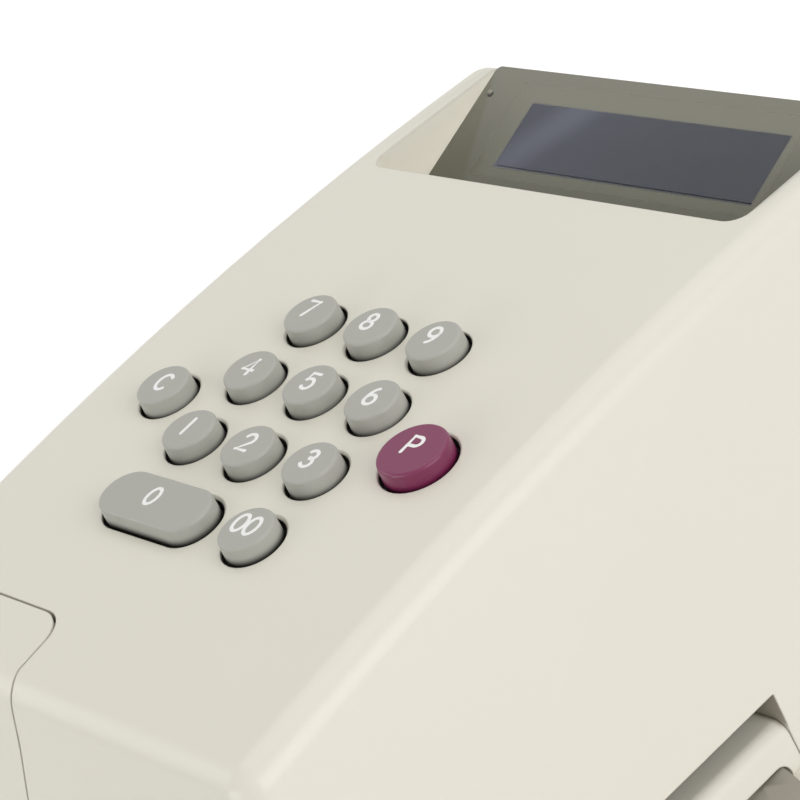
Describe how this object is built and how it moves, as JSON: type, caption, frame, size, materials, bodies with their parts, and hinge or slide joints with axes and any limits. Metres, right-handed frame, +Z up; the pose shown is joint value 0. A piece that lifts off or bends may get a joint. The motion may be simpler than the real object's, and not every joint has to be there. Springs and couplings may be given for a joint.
{
  "type": "check writer",
  "caption": "Desk machine that prints an amount on a cheque: wedge casing, sloping keypad, recessed display, side throat, release lever and hinged ink cover.",
  "frame": {"origin": "middle of the footprint, on the plane the feet stand on", "axes": "+X to the operator's right, +Y to the rear, +Z up"},
  "size_m": [0.173, 0.265, 0.1198],
  "materials": {
    "casing": "fine grained ivory moulding",
    "dark_plastic": "satin",
    "steel": "rolled sheet",
    "window": "smoked clear plastic",
    "screen": "dark screen",
    "board": "circuit board",
    "rubber": "matt",
    "print_key": "plum moulding",
    "brass": "machined",
    "gear_plastic": "natural acetal",
    "ink_foam": "inked foam",
    "lever_plastic": "warm grey moulding",
    "black_plastic": "satin",
    "key_plastic": "warm grey moulding"
  },
  "bodies": {
    "machine": {"upper_case": "casing", "base": "casing", "paper_table": "casing", "head_plate": "dark_plastic", "chassis": "steel", "cover_hinge_pin": "steel", "display_window": "window", "lcd_module": "screen", "display_board": "board", "key_mat": "rubber", "keypad_board": "board", "main_board": "board", "mechanism_frame": "steel", "print_motor": "steel", "platen": "rubber", "feed_motor": "steel", "pinch_pin": "steel", "pinch_spring": "steel", "lever_spring": "steel", "switch_body": "black_plastic", "dc_inlet": "black_plastic", "feet": "rubber", "case_screws": "steel", "board_screws": "steel", "mechanism_screws": "steel"},
    "key_0": {"key_0": "key_plastic"},
    "key_00": {"key_00": "key_plastic"},
    "key_1": {"key_1": "key_plastic"},
    "key_2": {"key_2": "key_plastic"},
    "key_3": {"key_3": "key_plastic"},
    "key_4": {"key_4": "key_plastic"},
    "key_5": {"key_5": "key_plastic"},
    "key_6": {"key_6": "key_plastic"},
    "key_7": {"key_7": "key_plastic"},
    "key_8": {"key_8": "key_plastic"},
    "key_9": {"key_9": "key_plastic"},
    "key_clear": {"key_clear": "key_plastic"},
    "key_print": {"key_print": "print_key"},
    "release_lever": {"release_lever": "lever_plastic"},
    "pinch_arm": {"pinch_arm": "steel"},
    "pinch_roller": {"pinch_roller": "rubber"},
    "feed_train": {"feed_roller": "rubber", "feed_shaft": "steel", "feed_gear": "gear_plastic"},
    "feed_pinion": {"feed_pinion": "brass"},
    "print_train": {"type_wheel": "brass", "wheel_shaft": "steel", "wheel_gear": "gear_plastic"},
    "print_pinion": {"print_pinion": "brass"},
    "ink_train": {"ink_roller": "ink_foam", "ink_roller_core": "gear_plastic"},
    "ink_cover": {"ink_cover": "casing"},
    "power_switch": {"power_switch": "black_plastic"}
  },
  "joints": [
    {"name": "key_0_press", "type": "slide", "parent": "machine", "child": "key_0", "axis": [0, -0.108, 0.9942], "range_m": [-0.0018, 0], "stiffness_N_per_m": 200, "springref_m": 0.001},
    {"name": "key_00_press", "type": "slide", "parent": "machine", "child": "key_00", "axis": [0, -0.108, 0.9942], "range_m": [-0.0018, 0], "stiffness_N_per_m": 200, "springref_m": 0.001},
    {"name": "key_1_press", "type": "slide", "parent": "machine", "child": "key_1", "axis": [0, -0.108, 0.9942], "range_m": [-0.0018, 0], "stiffness_N_per_m": 200, "springref_m": 0.001},
    {"name": "key_2_press", "type": "slide", "parent": "machine", "child": "key_2", "axis": [0, -0.108, 0.9942], "range_m": [-0.0018, 0], "stiffness_N_per_m": 200, "springref_m": 0.001},
    {"name": "key_3_press", "type": "slide", "parent": "machine", "child": "key_3", "axis": [0, -0.108, 0.9942], "range_m": [-0.0018, 0], "stiffness_N_per_m": 200, "springref_m": 0.001},
    {"name": "key_4_press", "type": "slide", "parent": "machine", "child": "key_4", "axis": [0, -0.108, 0.9942], "range_m": [-0.0018, 0], "stiffness_N_per_m": 200, "springref_m": 0.001},
    {"name": "key_5_press", "type": "slide", "parent": "machine", "child": "key_5", "axis": [0, -0.108, 0.9942], "range_m": [-0.0018, 0], "stiffness_N_per_m": 200, "springref_m": 0.001},
    {"name": "key_6_press", "type": "slide", "parent": "machine", "child": "key_6", "axis": [0, -0.108, 0.9942], "range_m": [-0.0018, 0], "stiffness_N_per_m": 200, "springref_m": 0.001},
    {"name": "key_7_press", "type": "slide", "parent": "machine", "child": "key_7", "axis": [0, -0.108, 0.9942], "range_m": [-0.0018, 0], "stiffness_N_per_m": 200, "springref_m": 0.001},
    {"name": "key_8_press", "type": "slide", "parent": "machine", "child": "key_8", "axis": [0, -0.108, 0.9942], "range_m": [-0.0018, 0], "stiffness_N_per_m": 200, "springref_m": 0.001},
    {"name": "key_9_press", "type": "slide", "parent": "machine", "child": "key_9", "axis": [0, -0.108, 0.9942], "range_m": [-0.0018, 0], "stiffness_N_per_m": 200, "springref_m": 0.001},
    {"name": "key_clear_press", "type": "slide", "parent": "machine", "child": "key_clear", "axis": [0, -0.108, 0.9942], "range_m": [-0.0018, 0], "stiffness_N_per_m": 200, "springref_m": 0.001},
    {"name": "key_print_press", "type": "slide", "parent": "machine", "child": "key_print", "axis": [0, -0.108, 0.9942], "range_m": [-0.0018, 0], "stiffness_N_per_m": 200, "springref_m": 0.001},
    {"name": "lever_press", "type": "hinge", "parent": "machine", "child": "release_lever", "pos_m": [0.062, -0.01, 0.0165], "axis": [0, 1, 0], "range_deg": [0, 8], "stiffness_Nm_per_rad": 0.3, "springref_deg": -17.19},
    {"name": "pinch_lift", "type": "hinge", "parent": "machine", "child": "pinch_arm", "pos_m": [0.044, -0.024, 0.054], "axis": [0, 1, 0], "range_deg": [0, 12]},
    {"name": "pinch_roller_spin", "type": "hinge", "parent": "pinch_arm", "child": "pinch_roller", "pos_m": [0.018, -0.062, 0.04145], "axis": [0, 1, 0], "continuous": true},
    {"name": "feed_spin", "type": "hinge", "parent": "machine", "child": "feed_train", "pos_m": [0.018, -0.062, 0.0281], "axis": [0, 1, 0], "continuous": true},
    {"name": "feed_pinion_spin", "type": "hinge", "parent": "machine", "child": "feed_pinion", "pos_m": [-0.0005, 0.0163, 0.0281], "axis": [0, 1, 0], "continuous": true},
    {"name": "wheel_spin", "type": "hinge", "parent": "machine", "child": "print_train", "pos_m": [-0.031, -0.062, 0.0523], "axis": [1, 0, 0], "continuous": true},
    {"name": "print_pinion_spin", "type": "hinge", "parent": "machine", "child": "print_pinion", "pos_m": [-0.0091, -0.05675, 0.06139], "axis": [1, 0, 0], "continuous": true},
    {"name": "ink_roller_spin", "type": "hinge", "parent": "machine", "child": "ink_train", "pos_m": [-0.031, -0.08985, 0.0533], "axis": [1, 0, 0], "continuous": true},
    {"name": "cover_open", "type": "hinge", "parent": "machine", "child": "ink_cover", "pos_m": [-0.0696, -0.098, 0.0448], "axis": [0, -1, 0], "range_deg": [0, 70]},
    {"name": "switch_rock", "type": "hinge", "parent": "machine", "child": "power_switch", "pos_m": [0.048, 0.11983, 0.046], "axis": [1, 0, 0], "range_deg": [0, 16]}
  ],
  "couplings": [
    {"joint": "pinch_lift", "follows": "lever_press", "ratio": 1.5},
    {"joint": "pinch_roller_spin", "follows": "feed_spin", "ratio": -1.1667},
    {"joint": "feed_pinion_spin", "follows": "feed_spin", "ratio": -3.6},
    {"joint": "print_pinion_spin", "follows": "wheel_spin", "ratio": -1.6},
    {"joint": "ink_roller_spin", "follows": "wheel_spin", "ratio": -1.619}
  ]
}
